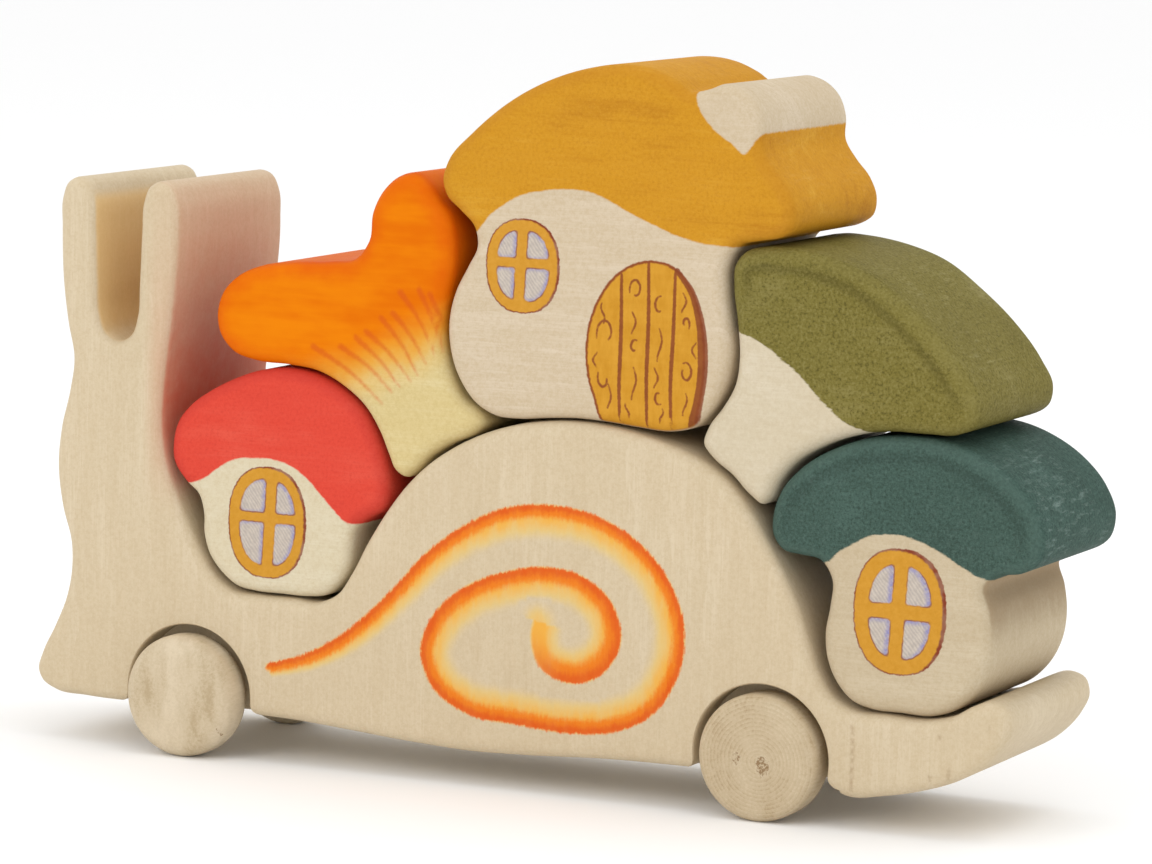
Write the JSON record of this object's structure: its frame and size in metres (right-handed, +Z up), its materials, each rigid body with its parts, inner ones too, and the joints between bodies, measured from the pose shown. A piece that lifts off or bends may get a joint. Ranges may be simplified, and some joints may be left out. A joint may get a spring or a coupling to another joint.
{
  "type": "pull along toy",
  "caption": "Thick wooden snail on small round wheels, carrying painted mushroom houses that stand in hollows along its back.",
  "frame": {"origin": "centre of the overall box at floor height, where the wheels touch the floor", "axes": "+Z up; +X along the snail towards its tail; -Y is the side seen in the picture, with the painted spiral; +Y is the far side"},
  "size_m": [0.2653, 0.0688, 0.174],
  "materials": {
    "natural_wood": "sanded, clear oil",
    "axle_dowel": "sanded, bare",
    "wheel_end_grain": "sanded, clear oil",
    "red_stain": "water colour stain, clear oil",
    "orange_stain": "water colour stain, clear oil",
    "ochre_stain": "water colour stain, clear oil",
    "olive_stain": "water colour stain, clear oil",
    "teal_stain": "water colour stain, clear oil"
  },
  "bodies": {
    "snail": {"snail_body": "natural_wood"},
    "front_wheelset": {"front_axle": "axle_dowel", "front_near_wheel": "wheel_end_grain", "front_far_wheel": "wheel_end_grain"},
    "rear_wheelset": {"rear_axle": "axle_dowel", "rear_near_wheel": "wheel_end_grain", "rear_far_wheel": "wheel_end_grain"},
    "red_house": {"red_mushroom_house": "red_stain"},
    "chanterelle": {"orange_chanterelle": "orange_stain"},
    "yellow_house": {"yellow_mushroom_house": "ochre_stain"},
    "green_cap": {"green_mushroom": "olive_stain"},
    "teal_house": {"teal_mushroom_house": "teal_stain"}
  },
  "joints": [
    {"name": "front_wheels_roll", "type": "hinge", "parent": "snail", "child": "front_wheelset", "pos_m": [-0.0883, 0, 0.015], "axis": [0, 1, 0], "continuous": true},
    {"name": "rear_wheels_roll", "type": "hinge", "parent": "snail", "child": "rear_wheelset", "pos_m": [0.0652, 0, 0.015], "axis": [0, 1, 0], "continuous": true},
    {"name": "red_house_lifts_off", "type": "slide", "parent": "snail", "child": "red_house", "axis": [0, 1, 0], "range_m": [-0.06, 0.06]},
    {"name": "chanterelle_lifts_off", "type": "slide", "parent": "snail", "child": "chanterelle", "axis": [0, 1, 0], "range_m": [-0.06, 0.06]},
    {"name": "yellow_house_lifts_off", "type": "slide", "parent": "snail", "child": "yellow_house", "axis": [0, 1, 0], "range_m": [-0.06, 0.06]},
    {"name": "green_mushroom_lifts_off", "type": "slide", "parent": "snail", "child": "green_cap", "axis": [0, 1, 0], "range_m": [-0.06, 0.06]},
    {"name": "teal_house_lifts_off", "type": "slide", "parent": "snail", "child": "teal_house", "axis": [0, 1, 0], "range_m": [-0.06, 0.06]}
  ]
}
